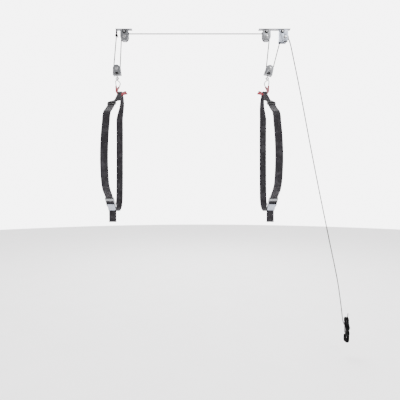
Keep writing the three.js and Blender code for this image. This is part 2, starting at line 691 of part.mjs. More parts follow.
// The straight run that leaves one wheel and meets the next.
function straightRun(from, to) {
  const start = from.turn * from.pitch;
  const end = to.turn * to.pitch;
  const across = new THREE.Vector2(to.x - from.x, to.z - from.z);
  const length = Math.sqrt(across.lengthSq() - (end - start) ** 2);
  const heading = across.angle() - Math.atan2(end - start, length);
  const left = new THREE.Vector2(-Math.sin(heading), Math.cos(heading));
  return {
    from: new THREE.Vector3(from.x - left.x * start, 0, from.z - left.y * start),
    to: new THREE.Vector3(to.x - left.x * end, 0, to.z - left.y * end),
  };
}

const runs = wheels.slice(1).map((wheel, i) => straightRun(wheels[i], wheel));

// A bend runs on a short way into each straight run, so that its ends are square.
function stubEnd(near, towards, length = STUB) {
  return near.clone().add(towards.clone().sub(near).setLength(length));
}

// The bend round a wheel, from the run that meets it to the run that leaves it.
function bend(wheel, arriving, leaving) {
  const angleOf = (point) => Math.atan2(point.z - wheel.z, point.x - wheel.x);
  const start = angleOf(arriving.to);
  const whole = 2 * Math.PI;
  const sweep = (((angleOf(leaving.from) - start) * wheel.turn) % whole + whole) % whole;
  const count = Math.ceil(sweep / ARC_STEP);
  const points = [stubEnd(arriving.to, arriving.from)];
  for (let i = 0; i <= count; i += 1) {
    const angle = start + (wheel.turn * sweep * i) / count;
    points.push(new THREE.Vector3(wheel.x + wheel.pitch * Math.cos(angle), 0,
      wheel.z + wheel.pitch * Math.sin(angle)));
  }
  points.push(stubEnd(leaving.from, leaving.to));
  return points;
}

const bends = wheels.slice(1, -1).map((wheel, i) => bend(wheel, runs[i], runs[i + 1]));

function betweenBends(run) {
  return [stubEnd(run.from, run.to, STUB + GAP), stubEnd(run.to, run.from, STUB + GAP)];
}

function placeRope(name, points) {
  place(hoist, name, solid(tube(points, ROPE_RADIUS)), 'rope');
}

placeRope('rope_fall_a', betweenBends(runs[0]));
placeRope('rope_bend_lower_left', bends[0]);
placeRope('rope_fall_b', betweenBends(runs[1]));
placeRope('rope_cross_run', [...bends[1], ...bends[2]]);
placeRope('rope_fall_c', betweenBends(runs[3]));
placeRope('rope_bend_lower_right', bends[3]);
placeRope('rope_fall_d', betweenBends(runs[4]));
placeRope('rope_bend_lock', bends[4]);

// The free rope, from the lock down to the cleat on the wall.
const STRAIGHT_OUT = 12;
const PULL_STEPS = 46;
const PULL_ROUTE = [[108, 4, -88], [142, 27, -200], [208, 74, -430], [292, 137, -740],
  [392, 209, -1100], [495, 281, -1460], [592, 345, -1810], [640, 384, -2035],
  [PULL_END.x, PULL_END.y, PULL_END.z]];

function pullRope(leaving) {
  const straightEnd = stubEnd(leaving.from, leaving.to, STRAIGHT_OUT);
  const free = smooth([straightEnd, ...vectors(PULL_ROUTE)], PULL_STEPS);
  return [stubEnd(leaving.from, leaving.to, STUB + GAP), ...free];
}

placeRope('rope_pull', pullRope(runs[5]));

// The knotted end: a loop through the anchor tab and the knot under it.
function anchorKnot() {
  const loop = new THREE.TorusGeometry(ANCHOR.ring, ROPE_RADIUS, ROPE_SIDES, KNOT_RING_STEPS);
  loop.rotateY(Math.PI / 2).translate(ANCHOR.x, 0, ANCHOR.z - ANCHOR.ring);
  const knot = new THREE.SphereGeometry(KNOT.radius, KNOT_STEPS.round, KNOT_STEPS.high);
  knot.scale(1, 1, KNOT.squash).translate(ANCHOR.x, 0, ANCHOR.tabBottom - KNOT.drop);
  return joined(loop, knot);
}

place(hoist, 'rope_anchor_knot', anchorKnot(), 'rope');

// ---------------------------------------------------------------- wall cleat

// The upper half of the cleat's side, from its back on the wall round the neck and out to the horn.
const CLEAT_HALF = [[0, 34], [-8, 34], [-10, 13], [-24, 13], [-27, 40], [-25, 60], [-31, 60],
  [-36, 40]];

function wallCleat() {
  const lower = CLEAT_HALF.map(([y, z]) => [y, -z]).reverse();
  return solid(alongX(outline([...CLEAT_HALF, ...lower]), -CLEAT.half, CLEAT.half));
}

place(hoist, 'wall_cleat', wallCleat(), 'blackPlastic').position.set(CLEAT.x, WALL_Y, CLEAT.z);

// The surplus rope's outer shape: two lobes with a waist, wrapped round the cleat's neck and horns.
const WAIST = 14;
const LOBE = { half: 20, widest: 62, tip: 102 };
const LOBE_HANDLES = { waist: [14, 20], flare: [20, 34], side: [20, 90], top: [11, 102] };
const NECK_ROOM = { front: -30, half: 14 };
const HORN_ROOM = { front: -37, back: -22, half: 61 };

function ropeWinding() {
  const { waist, flare, side, top } = LOBE_HANDLES;
  const lobes = new THREE.Shape();
  const curve = (signX, signZ, first, second, end) => lobes.bezierCurveTo(
    signX * first[0], signZ * first[1], signX * second[0], signZ * second[1],
    signX * end[0], signZ * end[1]);
  lobes.moveTo(WAIST, 0);
  for (const up of [1, -1]) {
    curve(up, up, waist, flare, [LOBE.half, LOBE.widest]);
    curve(up, up, side, top, [0, LOBE.tip]);
    curve(-up, up, top, side, [LOBE.half, LOBE.widest]);
    curve(-up, up, flare, waist, [WAIST, 0]);
  }
  const room = CLEAT.half + WINDING.room;
  const bareEnd = tube(vectors(ROPE_END), ROPE_RADIUS);
  return cut(joined(alongY(lobes, WINDING.outer, WINDING.inner), bareEnd),
    box(-room, room, NECK_ROOM.front, 0, -NECK_ROOM.half, NECK_ROOM.half),
    box(-room, room, HORN_ROOM.front, HORN_ROOM.back, -HORN_ROOM.half, HORN_ROOM.half));
}

place(hoist, 'rope_winding', ropeWinding(), 'rope').position.set(CLEAT.x, WALL_Y, CLEAT.z);

export default hoist;
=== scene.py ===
# Ceiling sling hoist: the finished surface of every piece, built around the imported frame.
# Metres, +Z up, +X along the ceiling from the anchor end to the lock end, +Y towards the wall.
# Lists of shape points are in millimetres and go through mm().

import json
import math

import bmesh
import bpy
from mathutils import Matrix, Vector


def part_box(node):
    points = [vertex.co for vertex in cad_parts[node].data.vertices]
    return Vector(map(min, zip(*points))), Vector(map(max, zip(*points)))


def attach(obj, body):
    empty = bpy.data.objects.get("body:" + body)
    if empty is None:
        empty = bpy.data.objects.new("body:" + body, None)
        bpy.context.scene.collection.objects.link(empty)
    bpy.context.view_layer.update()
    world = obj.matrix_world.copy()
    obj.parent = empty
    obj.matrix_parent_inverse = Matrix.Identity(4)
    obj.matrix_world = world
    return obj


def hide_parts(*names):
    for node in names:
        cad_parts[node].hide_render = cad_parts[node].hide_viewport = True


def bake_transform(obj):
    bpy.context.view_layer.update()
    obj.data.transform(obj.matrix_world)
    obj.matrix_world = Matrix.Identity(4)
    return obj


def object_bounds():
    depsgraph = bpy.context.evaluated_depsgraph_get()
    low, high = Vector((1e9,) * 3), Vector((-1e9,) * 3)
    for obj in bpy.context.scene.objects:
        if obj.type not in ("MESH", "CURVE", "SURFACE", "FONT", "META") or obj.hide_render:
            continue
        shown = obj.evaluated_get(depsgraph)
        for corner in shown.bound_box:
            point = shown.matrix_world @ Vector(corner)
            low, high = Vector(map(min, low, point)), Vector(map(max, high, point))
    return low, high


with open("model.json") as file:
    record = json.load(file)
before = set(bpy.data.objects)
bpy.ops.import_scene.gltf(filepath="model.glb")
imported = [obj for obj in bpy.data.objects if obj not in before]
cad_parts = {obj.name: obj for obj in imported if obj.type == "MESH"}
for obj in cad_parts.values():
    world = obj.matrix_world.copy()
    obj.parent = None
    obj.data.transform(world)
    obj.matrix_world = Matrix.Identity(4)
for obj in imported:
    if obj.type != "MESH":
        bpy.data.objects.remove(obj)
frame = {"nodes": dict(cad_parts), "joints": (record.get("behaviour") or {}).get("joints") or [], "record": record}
cad_low, cad_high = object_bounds()

MM = 0.001
RECORD = frame["record"]
BODY_OF = {node: body for body, nodes in RECORD["behaviour"]["bodies"].items() for node in nodes}
SLOT_OF = {part["node"]: part["material_slot"] for part in RECORD["subparts"]}
JOINTS = {joint["name"]: joint for joint in frame["joints"]}

# Rope
ROPE_RADIUS = 3.5 * MM
ROPE_SIDES = 14
BLOCK_PITCH = 22 * MM
LOCK_PITCH = 24.5 * MM
KNOT_BOTTOM = Vector((-1.073, 0, -0.043))
ANCHOR_X = -1.072
ANCHOR_HOLE_Z = -0.017

# Pulleys
HUB_HALF = 10.5 * MM
HUB_RADIUS = 8 * MM
SHEAVE_HALF = 7.5 * MM
SHEAVE_RIM = 2.8 * MM
GROOVE_MOUTH = 6 * MM
AXLE_RADIUS = 4 * MM
AXLE_HEAD = 11 * MM
AXLE_DOME = 3.2 * MM
BORE = 4.4 * MM
CHEEK_OUT = 14 * MM
CHEEK_IN = 11 * MM
GAP = 0.3 * MM
WASHER_RADIUS = 13 * MM
WASHER_THICK = 2 * MM
BOLT_HEAD = 5 * MM
BOLT_ACROSS = 7.5 * MM

# Hooks
HOOK_WIRE = 3.5 * MM
SLEEVE_RADIUS = 6.3 * MM
EYE_DROP = 59 * MM

# Slings
WEB_HALF = 24 * MM
WEB_THICK = 2.4 * MM
GATHER_FROM = 9 * MM
GATHER_TO = 35 * MM
GATHER_TOP = -0.441
GATHER_WIDE = -0.508
GATHER_WIDE_HALF = 21 * MM
GATHER_BOTTOM = -0.524
GATHER_BACK_BOTTOM = -0.600

SIDES = {"left": 1, "right": -1}


def mm(points):
    return [Vector(point) * MM for point in points]


def pivot(joint):
    return Vector(JOINTS[joint]["pos_m"])


# ------------------------------------------------------------------ lines

def smooth_line(points, longest):
    """A centripetal Catmull-Rom line through the points, with no step longer than longest."""
    points = [Vector(point) for point in points]
    ends = [2 * points[0] - points[1], *points, 2 * points[-1] - points[-2]]
    line = []
    for a, b, c, d in zip(ends, ends[1:], ends[2:], ends[3:]):
        before, here, after = [math.sqrt(max(step.length, 1e-9)) for step in (b - a, c - b, d - c)]
        leave = ((b - a) / before - (c - a) / (before + here) + (c - b) / here) * here
        reach = ((c - b) / here - (d - b) / (here + after) + (d - c) / after) * here
        steps = max(3, math.ceil((c - b).length / longest))
        for i in range(steps):
            t = i / steps
            line.append(b * (2 * t**3 - 3 * t**2 + 1) + leave * (t**3 - 2 * t**2 + t)
                        + c * (3 * t**2 - 2 * t**3) + reach * (t**3 - t**2))
    line.append(points[-1])
    return line


def evenly(line, step):
    """The same line with points about step apart."""
    along = distances(line)
    count = max(2, math.ceil(along[-1] / step) + 1)
    out = []
    i = 0
    for k in range(count):
        want = along[-1] * k / (count - 1)
        while i < len(line) - 2 and along[i + 1] < want:
            i += 1
        share = (want - along[i]) / max(along[i + 1] - along[i], 1e-12)
        out.append(line[i].lerp(line[i + 1], min(share, 1.0)))
    return out


def distances(line):
    along = [0.0]
    for a, b in zip(line, line[1:]):
        along.append(along[-1] + (b - a).length)
    return along


def tangents(line):
    last = len(line) - 1
    return [(line[min(i + 1, last)] - line[max(i - 1, 0)]).normalized() for i in range(len(line))]


def smoothstep(value, low, high):
    t = min(max((value - low) / (high - low), 0.0), 1.0)
    return t * t * (3 - 2 * t)


# ------------------------------------------------------------------ meshes

def make_piece(name, verts, faces, uvs=None, sharp=None):
    """A mesh object with its faces turned outwards, smooth except at edges over sharp degrees."""
    mesh = bpy.data.meshes.new(name)
    mesh.from_pydata([tuple(v) for v in verts], [], faces)
    if uvs:
        layer = mesh.uv_layers.new(name="UVMap")
        layer.data.foreach_set("uv", [value for uv in uvs for value in uv])
    return finish_piece(name, mesh, sharp)


def finish_piece(name, mesh, sharp):
    bm = bmesh.new()
    bm.from_mesh(mesh)
    bmesh.ops.recalc_face_normals(bm, faces=bm.faces)
    bm.to_mesh(mesh)
    bm.free()
    mesh.shade_smooth()
    if sharp:
        mesh.set_sharp_from_angle(angle=math.radians(sharp))
    piece = bpy.data.objects.new(name, mesh)
    bpy.context.scene.collection.objects.link(piece)
    return piece


def skin(name, rings, across, along, sharp=None):
    """Quads between rings of points, closed at both ends. across and along are the UV in metres."""
    n = len(rings[0])
    faces = []
    uvs = []
    for i in range(len(rings) - 1):
        for j in range(n):
            k = (j + 1) % n
            faces.append((i * n + j, i * n + k, (i + 1) * n + k, (i + 1) * n + j))
            uvs += [(across[j], along[i]), (across[j + 1], along[i]),
                    (across[j + 1], along[i + 1]), (across[j], along[i + 1])]
    last = (len(rings) - 1) * n
    faces.append(tuple(reversed(range(n))))
    uvs += [(across[j], along[0]) for j in reversed(range(n))]
    faces.append(tuple(range(last, last + n)))
    uvs += [(across[j], along[-1]) for j in range(n)]
    return make_piece(name, [p for ring in rings for p in ring], faces, uvs, sharp)


def tube(name, line, radii, sides):
    """A round tube along a line, its section carried along without twisting."""
    directions = tangents(line)
    side = directions[0].orthogonal().normalized()
    rings = []
    for point, direction, radius in zip(line, directions, radii):
        side = (side - direction * side.dot(direction)).normalized()
        other = direction.cross(side)
        rings.append([point + radius * (side * math.cos(a) + other * math.sin(a))
                      for a in (2 * math.pi * j / sides for j in range(sides))])
    across = [j / sides for j in range(sides + 1)]
    return skin(name, rings, across, distances(line), sharp=50)


def lathe(name, profile, seat, closed, steps=64, sharp=28):
    """A profile of radius and height turned about the seat's own Z axis."""
    verts = []
    rows = []
    for radius, height in profile:
        if radius < 1e-7:
            rows.append([len(verts)] * steps)
            verts.append(seat @ Vector((0, 0, height)))
            continue
        rows.append(list(range(len(verts), len(verts) + steps)))
        for j in range(steps):
            a = 2 * math.pi * j / steps
            verts.append(seat @ Vector((radius * math.cos(a), radius * math.sin(a), height)))
    faces = []
    pairs = list(zip(rows, rows[1:]))
    if closed:
        pairs.append((rows[-1], rows[0]))
    for low, high in pairs:
        for j in range(steps):
            k = (j + 1) % steps
            corners = [low[j], low[k], high[k], high[j]]
            face = tuple(dict.fromkeys(corners))
            if len(face) > 2:
                faces.append(face)
    return make_piece(name, verts, faces, sharp=sharp)


def rounded(points, radius, closed=True, steps=3):
    """A polyline with its corners rounded off."""
    count = len(points)
    out = []
    for i, point in enumerate(points):
        if not closed and i in (0, count - 1):
            out.append(tuple(point))
            continue
        here = Vector(point)
        back = Vector(points[i - 1]) - here
        ahead = Vector(points[(i + 1) % count]) - here
        start = here + back.normalized() * min(radius, 0.45 * back.length)
        end = here + ahead.normalized() * min(radius, 0.45 * ahead.length)
        for k in range(steps + 1):
            t = k / steps
            out.append(tuple(start.lerp(here, t).lerp(here.lerp(end, t), t)))
    return out


def along_y(centre):
    """A seat whose Z axis points along +Y."""
    return Matrix.Translation(centre) @ Matrix.Rotation(-math.pi / 2, 4, "X")


def block_seat(side):
    """A lower block's own place: at its sheave's centre, leaning with its swivel."""
    axis = Vector(JOINTS[f"{side}_hook_swivel"]["axis"])
    lean = math.atan2(axis.x, axis.z)
    return Matrix.Translation(pivot(f"{side}_wheel_spin")) @ Matrix.Rotation(lean, 4, "Y")


# ------------------------------------------------------------------ looks

def srgb(*levels):
    def linear(level):
        c = level / 255
        return c / 12.92 if c <= 0.04045 else ((c + 0.055) / 1.055) ** 2.4
    return (*[linear(level) for level in levels], 1.0)


class Look:
    """A node material with short ways to add the nodes that the looks need."""

    def __init__(self, name, **sockets):
        self.material = bpy.data.materials.new(name)
        self.material.use_nodes = True
        self.nodes = self.material.node_tree.nodes
        self.links = self.material.node_tree.links
        self.shader = self.nodes["Principled BSDF"]
        for socket, value in sockets.items():
            self.shader.inputs[socket.replace("_", " ")].default_value = value

    def node(self, kind, **inputs):
        made = self.nodes.new(kind)
        for name, value in inputs.items():
            self.put(value, made.inputs[name.replace("_", " ")])
        return made

    def put(self, value, socket):
        if isinstance(value, bpy.types.NodeSocket):
            self.links.new(value, socket)
        else:
            socket.default_value = value

    def calc(self, operation, a, b=0.0):
        made = self.nodes.new("ShaderNodeMath")
        made.operation = operation
        self.put(a, made.inputs[0])
        self.put(b, made.inputs[1])
        return made.outputs[0]

    def place(self, source="Object", scale=(1, 1, 1)):
        where = self.node("ShaderNodeTexCoord").outputs[source]
        return self.node("ShaderNodeMapping", Vector=where, Scale=scale).outputs["Vector"]

    def noise(self, where, scale, detail=3.0, roughness=0.55):
        return self.node("ShaderNodeTexNoise", Vector=where, Scale=scale, Detail=detail,
                         Roughness=roughness).outputs["Fac"]

    def cells(self, where, scale):
        made = self.node("ShaderNodeTexVoronoi", Vector=where, Scale=scale)
        return self.node("ShaderNodeSeparateColor", Color=made.outputs["Color"]).outputs[0]

    def between(self, value, low, high, new_low=0.0, new_high=1.0):
        made = self.nodes.new("ShaderNodeMapRange")
        for socket, number in zip(made.inputs[1:5], (low, high, new_low, new_high)):
            socket.default_value = number
        self.put(value, made.inputs[0])
        return made.outputs[0]

    def blend(self, factor, first, second):
        made = self.nodes.new("ShaderNodeMix")
        made.data_type = "RGBA"
        for index, value in ((0, factor), (6, first), (7, second)):
            self.put(value, made.inputs[index])
        return made.outputs[2]

    def colour(self, value):
        self.put(value, self.shader.inputs["Base Color"])

    def roughness(self, value):
        self.put(value, self.shader.inputs["Roughness"])

    def bump(self, height, strength, distance):
        made = self.node("ShaderNodeBump", Height=height, Strength=strength, Distance=distance)
        self.put(made.outputs["Normal"], self.shader.inputs["Normal"])


def metal_look(name, dark, light, low, high, spangle=0.5):
    """Zinc plate or bright steel: crystal patches, fine grain and long rubbed streaks."""
    look = Look(name, Metallic=1.0)
    where = look.place()
    patches = look.cells(where, 190.0)
    grain = look.noise(where, 1400.0, 4.0)
    streaks = look.noise(look.place(scale=(60, 60, 900)), 1.0, 3.0)
    broad = look.noise(where, 28.0, 2.0)
    crystals = look.calc("MULTIPLY", patches, spangle)
    mottle = look.calc("ADD", crystals, look.calc("MULTIPLY", broad, 1 - spangle))
    look.colour(look.blend(look.between(mottle, 0.1, 0.8), srgb(*dark), srgb(*light)))
    rubbed = look.calc("ADD", look.calc("MULTIPLY", streaks, 0.6),
                       look.calc("MULTIPLY", broad, 0.4))
    look.roughness(look.between(rubbed, 0.3, 0.7, low, high))
    look.bump(look.calc("ADD", grain, look.calc("MULTIPLY", streaks, 0.7)), 0.22, 0.00012)
    return look.material


def plastic_look(name, dark, light, low, high, grain_scale):
    """Moulded plastic: a fine eroded grain, faint flow marks and random patches of dust."""
    look = Look(name)
    where = look.place()
    grain = look.noise(where, grain_scale, 2.0)
    flow = look.noise(look.place(scale=(40, 40, 160)), 1.0, 3.0)
    dust = look.between(look.noise(where, 45.0, 4.0), 0.55, 0.8)
    moulded = look.blend(flow, srgb(*dark), srgb(*light))
    look.colour(look.blend(look.calc("MULTIPLY", dust, 0.12), moulded, srgb(96, 94, 92)))
    look.roughness(look.between(flow, 0.3, 0.7, low, high))
    look.bump(grain, 0.3, 0.00015)
    return look.material


def vinyl_look(name):
    """Dipped red vinyl: glossy, slightly uneven, with faint scuffs."""
    look = Look(name, Coat_Weight=0.2, Coat_Roughness=0.22, Specular_IOR_Level=0.45)
    where = look.place()
    thick = look.noise(where, 60.0, 2.0)
    scuffs = look.between(look.noise(look.place(scale=(300, 300, 1200)), 1.0, 3.0), 0.6, 0.72)
    dip = look.blend(thick, srgb(108, 6, 26), srgb(146, 14, 40))
    look.colour(look.blend(look.calc("MULTIPLY", scuffs, 0.3), dip, srgb(190, 90, 100)))
    look.roughness(look.between(scuffs, 0.0, 1.0, 0.3, 0.5))
    look.bump(look.calc("ADD", thick, look.calc("MULTIPLY", scuffs, 0.15)), 0.18, 0.0006)
    return look.material


def wave(look, value, period, phase=0.0):
    turn = look.calc("MULTIPLY", value, 2 * math.pi / period)
    return look.calc("SINE", look.calc("ADD", turn, phase))


def webbing_look(name):
    """Polyester webbing: warp ribs crossed by picks that step from rib to rib, with firm edges, and painted shade
    darkening the low places of the weave.
    """
    look = Look(name, Sheen_Weight=0.05, Sheen_Roughness=0.5, Specular_IOR_Level=0.1)
    uv = look.node("ShaderNodeSeparateXYZ", Vector=look.node("ShaderNodeTexCoord").outputs["UV"])
    across, along = uv.outputs[0], uv.outputs[1]
    rib_wide = 0.0015
    pick_long = 0.0022
    ribs = look.calc("ABSOLUTE", wave(look, across, 2 * rib_wide))
    rib = look.calc("FLOOR", look.calc("DIVIDE", across, rib_wide))
    step = look.calc("MULTIPLY", look.calc("MODULO", rib, 4.0), math.pi / 2)
    picks = look.between(wave(look, along, pick_long, step), -1.0, 1.0)
    height = look.calc("MULTIPLY", ribs, look.between(picks, 0.0, 1.0, 0.45, 1.0))
    where = look.place()
    wear = look.noise(where, 34.0, 4.0)
    yarn = look.noise(look.place("UV", (1800, 260, 1)), 1.0, 2.0)
    # Painted shade: the weave's low places take the darker colour and its raised yarn the lighter one, from the
    # same height that drives the bump.
    body = look.blend(height, srgb(17, 16, 18), srgb(54, 52, 56))
    tone = look.calc("MULTIPLY", look.between(wear, 0.45, 0.75), 0.35)
    look.colour(look.blend(tone, body, srgb(88, 86, 90)))
    look.roughness(look.between(yarn, 0.2, 0.8, 0.72, 0.92))
    look.bump(look.calc("ADD", height, look.calc("MULTIPLY", yarn, 0.25)), 0.75, 0.00035)
    return look.material


def rope_look(name):
    """Braided polyester cord: two families of strands that pass over and under each other, with painted shade
    between the strands.
    """
    look = Look(name, Specular_IOR_Level=0.05)
    uv = look.node("ShaderNodeSeparateXYZ", Vector=look.node("ShaderNodeTexCoord").outputs["UV"])
    turn = look.calc("MULTIPLY", uv.outputs[0], 8.0)
    rise = look.calc("DIVIDE", uv.outputs[1], 0.0021)
    one = wave(look, look.calc("ADD", turn, rise), 2.0)
    two = wave(look, look.calc("SUBTRACT", turn, rise), 2.0)
    height = look.calc("ABSOLUTE", look.calc("MULTIPLY", one, two))
    fuzz = look.noise(look.place("UV", (160, 2600, 1)), 1.0, 2.0)
    wear = look.noise(look.place(), 22.0, 4.0)
    # Painted shade: the low places between strands take the darker colour and the raised strands the lighter one,
    # from the same height that drives the bump.
    strands = look.blend(height, srgb(8, 8, 9), srgb(30, 29, 31))
    tone = look.calc("MULTIPLY", look.between(wear, 0.45, 0.8), 0.3)
    look.colour(look.blend(tone, strands, srgb(44, 43, 44)))
    look.roughness(look.between(fuzz, 0.2, 0.8, 0.75, 0.95))
    look.bump(look.calc("ADD", height, look.calc("MULTIPLY", fuzz, 0.3)), 0.8, 0.0004)
    return look.material


LOOKS = {
    "zinc": metal_look("zinc", (104, 106, 109), (148, 149, 152), 0.38, 0.52, 0.3),
    "lock_zinc": metal_look("lock_zinc", (134, 140, 152), (178, 183, 194), 0.38, 0.5, 0.3),
    "bright_steel": metal_look("bright_steel", (150, 150, 152), (196, 196, 197), 0.2, 0.34, 0.15),
    "dark_steel": metal_look("dark_steel", (58, 58, 60), (92, 92, 94), 0.36, 0.55, 0.2),
    "black_plastic": plastic_look("black_plastic", (9, 9, 10), (17, 17, 18), 0.46, 0.62, 2600.0),
    "sheave_plastic": plastic_look("sheave_plastic", (104, 105, 107), (132, 133, 135), 0.38, 0.52,
                                   1900.0),
    "red_vinyl": vinyl_look("red_vinyl"),
    "webbing": webbing_look("webbing"),
    "rope": rope_look("rope"),
}
THREAD_LOOK = plastic_look("pale_thread", (98, 95, 98), (128, 124, 126), 0.7, 0.85, 3800.0)


def stand_for(piece, *nodes):
    """The piece takes the place, body, slot and look of these CAD nodes."""
    dress(piece, nodes[0])
    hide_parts(*nodes)
    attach(piece, BODY_OF[nodes[0]])
    return piece


def dress(piece, node):
    piece.data.materials.clear()
    piece.data.materials.append(LOOKS[SLOT_OF[node]])


# ------------------------------------------------------------------ camera and light

def add_camera():
    """Level view from in front of the hoist, at the height of the load's middle."""
    camera = bpy.data.cameras.new("camera")
    camera.lens = 28.6
    camera.shift_x = 0.025
    eye = bpy.data.objects.new("camera", camera)
    eye.location = (-0.573, -2.160, -1.159)
    eye.rotation_euler = (math.pi / 2, 0, 0)
    bpy.context.scene.collection.objects.link(eye)
    bpy.context.scene.camera = eye


def add_light(name, place, aim, size, watts):
    light = bpy.data.lights.new(name, "AREA")
    light.shape = "SQUARE"
    light.size = size
    light.energy = watts
    lamp = bpy.data.objects.new(name, light)
    lamp.location = place
    lamp.rotation_euler = (Vector(aim) - Vector(place)).to_track_quat("-Z", "Y").to_euler()
    bpy.context.scene.collection.objects.link(lamp)


ROOM_STRENGTH = 0.9
BACKDROP_STRENGTH = 7.0
BACKDROP_FADE = (0.0, 0.75)
LOAD_MIDDLE = (-0.5, 0, -0.9)


def add_studio():
    """Soft light from above in front, a bright backdrop and a dimmer room behind the camera."""
    add_light("key", (1.9, -2.4, 2.4), LOAD_MIDDLE, 2.4, 150)
    add_light("fill", (-2.8, -2.6, 0.2), LOAD_MIDDLE, 2.6, 10)
    add_light("backdrop", (-0.2, 3.6, 2.4), (-0.2, 2.6, -2.4), 4.0, 420)
    world = bpy.data.worlds.new("studio")
    world.use_nodes = True
    nodes = world.node_tree.nodes
    links = world.node_tree.links
    where = nodes.new("ShaderNodeTexCoord")
    split = nodes.new("ShaderNodeSeparateXYZ")
    fade = nodes.new("ShaderNodeMapRange")
    fade.interpolation_type = "SMOOTHSTEP"
    limits = (*BACKDROP_FADE, ROOM_STRENGTH, BACKDROP_STRENGTH)
    for socket, number in zip(fade.inputs[1:5], limits):
        socket.default_value = number
    background = nodes["Background"]
    background.inputs["Color"].default_value = srgb(246, 245, 246)
    links.new(where.outputs["Generated"], split.inputs[0])
    links.new(split.outputs["Y"], fade.inputs[0])
    links.new(fade.outputs[0], background.inputs["Strength"])
    bpy.context.scene.world = world


def add_floor():
    """A plain round floor under everything."""
    low = cad_low.z - 0.1
    radius = 14
    steps = 96
    angles = [2 * math.pi * k / steps for k in range(steps)]
    rim = [(radius * math.cos(a), radius * math.sin(a), low) for a in angles]
    floor = make_piece("floor", rim, [tuple(range(steps))])
    paint = Look("floor_paint")
    shade = paint.noise(paint.place(), 3.0, 3.0)
    paint.colour(paint.blend(shade, srgb(238, 237, 237), srgb(245, 244, 244)))
    paint.roughness(0.85)
    floor.data.materials.append(paint.material)


# ------------------------------------------------------------------ rope

def straight_run(start, end):
    """The straight rope between two wheels. A turn of +1 passes a wheel anticlockwise."""
    (from_centre, from_pitch, from_turn), (to_centre, to_pitch, to_turn) = start, end
    leave = from_turn * from_pitch
    reach = to_turn * to_pitch
    dx = to_centre.x - from_centre.x
    dz = to_centre.z - from_centre.z
    length = math.sqrt(dx * dx + dz * dz - (reach - leave) ** 2)
    heading = math.atan2(dz, dx) - math.atan2(reach - leave, length)
    left = Vector((-math.sin(heading), 0, math.cos(heading)))
    return from_centre - left * leave, to_centre - left * reach


def bend(wheel, arriving, leaving):
    """The rope round a wheel, from where one run meets it to where the next leaves."""
    centre, pitch, turn = wheel
    start = math.atan2(arriving.z - centre.z, arriving.x - centre.x)
    end = math.atan2(leaving.z - centre.z, leaving.x - centre.x)
    sweep = ((end - start) * turn) % (2 * math.pi)
    steps = math.ceil(sweep * pitch / (2 * MM))
    angles = [start + turn * sweep * i / steps for i in range(steps + 1)]
    return [centre + pitch * Vector((math.cos(a), 0, math.sin(a))) for a in angles]


def rope_piece(name, line, radius=ROPE_RADIUS):
    return tube(name, line, [radius] * len(line), ROPE_SIDES)


# The free rope: its way to the cleat, the same points as in the part's source, then its winding
# in millimetres and turns, then the end that sticks up out of it.
PULL_ROUTE = mm([(108, 4, -88), (142, 27, -200), (208, 74, -430), (292, 137, -740),
                 (392, 209, -1100), (495, 281, -1460), (592, 345, -1810), (640, 384, -2035),
                 (661, 399, -2143)])
WINDING_TURNS = 10
FIRST_LAYER = 13.5
LANE = 6.2
LOBE_HALF = (14.2, 9.6)
LOBE_TALL = (98, 91)
LOBE_FULLNESS = 1.7
CROSSING_SPREAD = 7
CROSSING_OUT = 41
CROSSING_GROWTH = 1.4
CROSSING_ZONE = (18, 48)
LANE_CHANGE = 0.78
SPREAD_ANGLE = 2.4
TURN_STEPS = 72
FIRST_ANGLE = 0.22
LAST_STEPS_CUT = TURN_STEPS // 5
LOCK_STRAIGHT = 12 * MM
ROPE_END = [(-3, -53, 62), (-3, -53, 90), (0, -48, 110), (7, -40, 135)]


def winding_lane(turn):
    """Which layer from the wall, and which of the two rings, a turn of the winding lies in."""
    layer = turn // 2
    ring = 0 if turn % 4 in (0, 3) else 1
    return layer, ring


def winding_line():
    """Figure-eight turns round the cleat, laid layer on layer away from the wall."""
    points = []
    for k in range(round(FIRST_ANGLE * TURN_STEPS), WINDING_TURNS * TURN_STEPS - LAST_STEPS_CUT):
        turn = k / TURN_STEPS
        now = int(turn)
        share = smoothstep(turn - now, LANE_CHANGE, 1.0)
        following = min(now + 1, WINDING_TURNS - 1)
        lanes = [winding_lane(now), winding_lane(following)]
        sizes = [(LOBE_HALF[ring], LOBE_TALL[ring], FIRST_LAYER + (layer + 0.5 * ring) * LANE)
                 for layer, ring in lanes]
        half, tall, deep = [(1 - share) * a + share * b for a, b in zip(*sizes)]
        angle = 2 * math.pi * turn
        swing = math.tanh(LOBE_FULLNESS * math.sin(2 * angle)) / math.tanh(LOBE_FULLNESS)
        spread = ((1 - share) * math.sin(SPREAD_ANGLE * now)
                  + share * math.sin(SPREAD_ANGLE * following))
        x = -half * swing + CROSSING_SPREAD * spread * math.sin(angle) ** 5
        z = tall * math.cos(angle)
        crossing = CROSSING_OUT + CROSSING_GROWTH * turn
        near = smoothstep(abs(z), *CROSSING_ZONE)
        y = -(deep * near + max(crossing, deep) * (1 - near))
        points.append((x, y, z))
    return points


def add_free_rope(leaving, towards):
    """The rope from the lock to the cleat and wound on it, as one cord."""
    low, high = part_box("wall_cleat")
    centre = Vector(((low.x + high.x) / 2, high.y, (low.z + high.z) / 2))
    out = (towards - leaving).normalized()
    wound = [centre + point for point in mm(winding_line() + ROPE_END)]
    route = [leaving, leaving + out * LOCK_STRAIGHT, *PULL_ROUTE, *wound]
    line = evenly(smooth_line(route, 4 * MM), 3.2 * MM)
    rope = rope_piece("free_rope", line)
    stand_for(rope, "rope_pull", "rope_winding")


